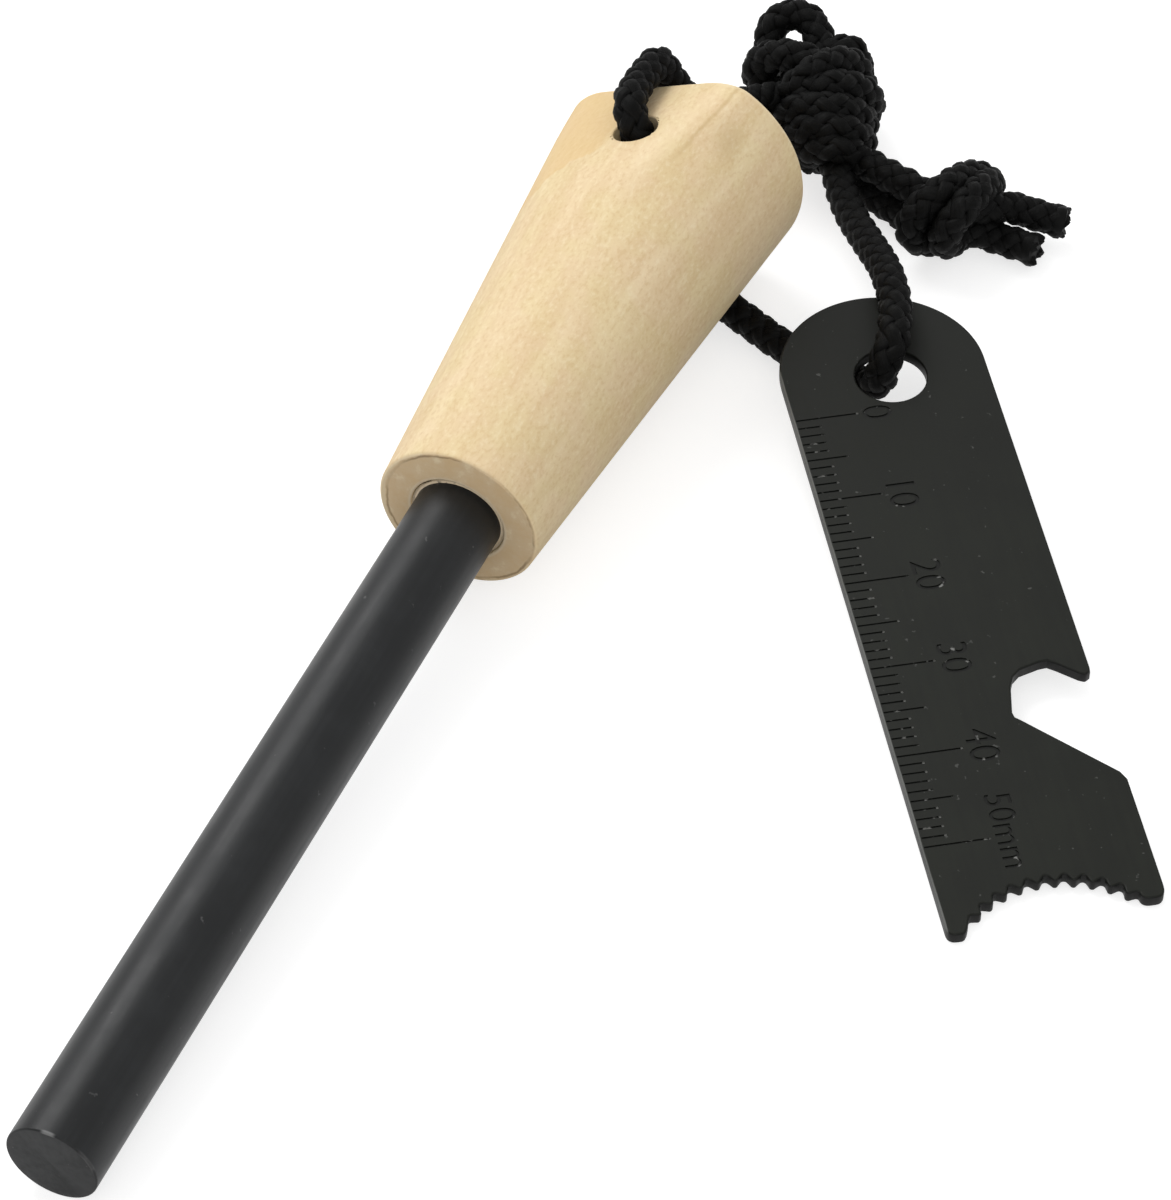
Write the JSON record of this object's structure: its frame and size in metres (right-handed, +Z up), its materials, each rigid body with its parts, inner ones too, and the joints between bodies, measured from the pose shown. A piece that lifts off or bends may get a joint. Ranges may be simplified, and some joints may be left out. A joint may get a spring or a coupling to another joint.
{
  "type": "ferro rod fire starter",
  "caption": "Fire starter: a ferrocerium rod in a tapered wooden handle, tied by a knotted braided cord to a flat steel striker with ruler, notch and teeth.",
  "frame": {"origin": "on the ground, in the middle of the box round the fire steel and the striker as they lie", "axes": "+X along the rod from its handle to its tip as seen from above, +Y from the rod towards the striker, +Z up"},
  "size_m": [0.1567, 0.0804, 0.0239],
  "materials": {
    "wood": "turned and sanded pale birch, bare, with fine pores",
    "ferrocerium": "satin black coated ferrocerium with faint lengthwise drawing marks",
    "glue": "hard clear brown epoxy",
    "striker_steel": "black oxide steel sheet with laser marked ruler and worn edges",
    "cord": "black braided nylon"
  },
  "bodies": {
    "fire_steel": {"handle": "wood", "ferro_rod": "ferrocerium", "rod_glue": "glue", "lanyard_over": "cord", "lanyard_under": "cord", "main_knot": "cord", "tail_long": "cord", "tail_short": "cord", "stopper_knot": "cord", "tail_end_long": "cord", "tail_end_short": "cord"},
    "striker": {"striker_plate": "striker_steel"}
  },
  "joints": [
    {"name": "striker_swivel", "type": "hinge", "parent": "fire_steel", "child": "striker", "pos_m": [-0.04742, -0.00238, 0.0045], "axis": [0, 0, 1], "range_deg": [-40, 90]}
  ]
}
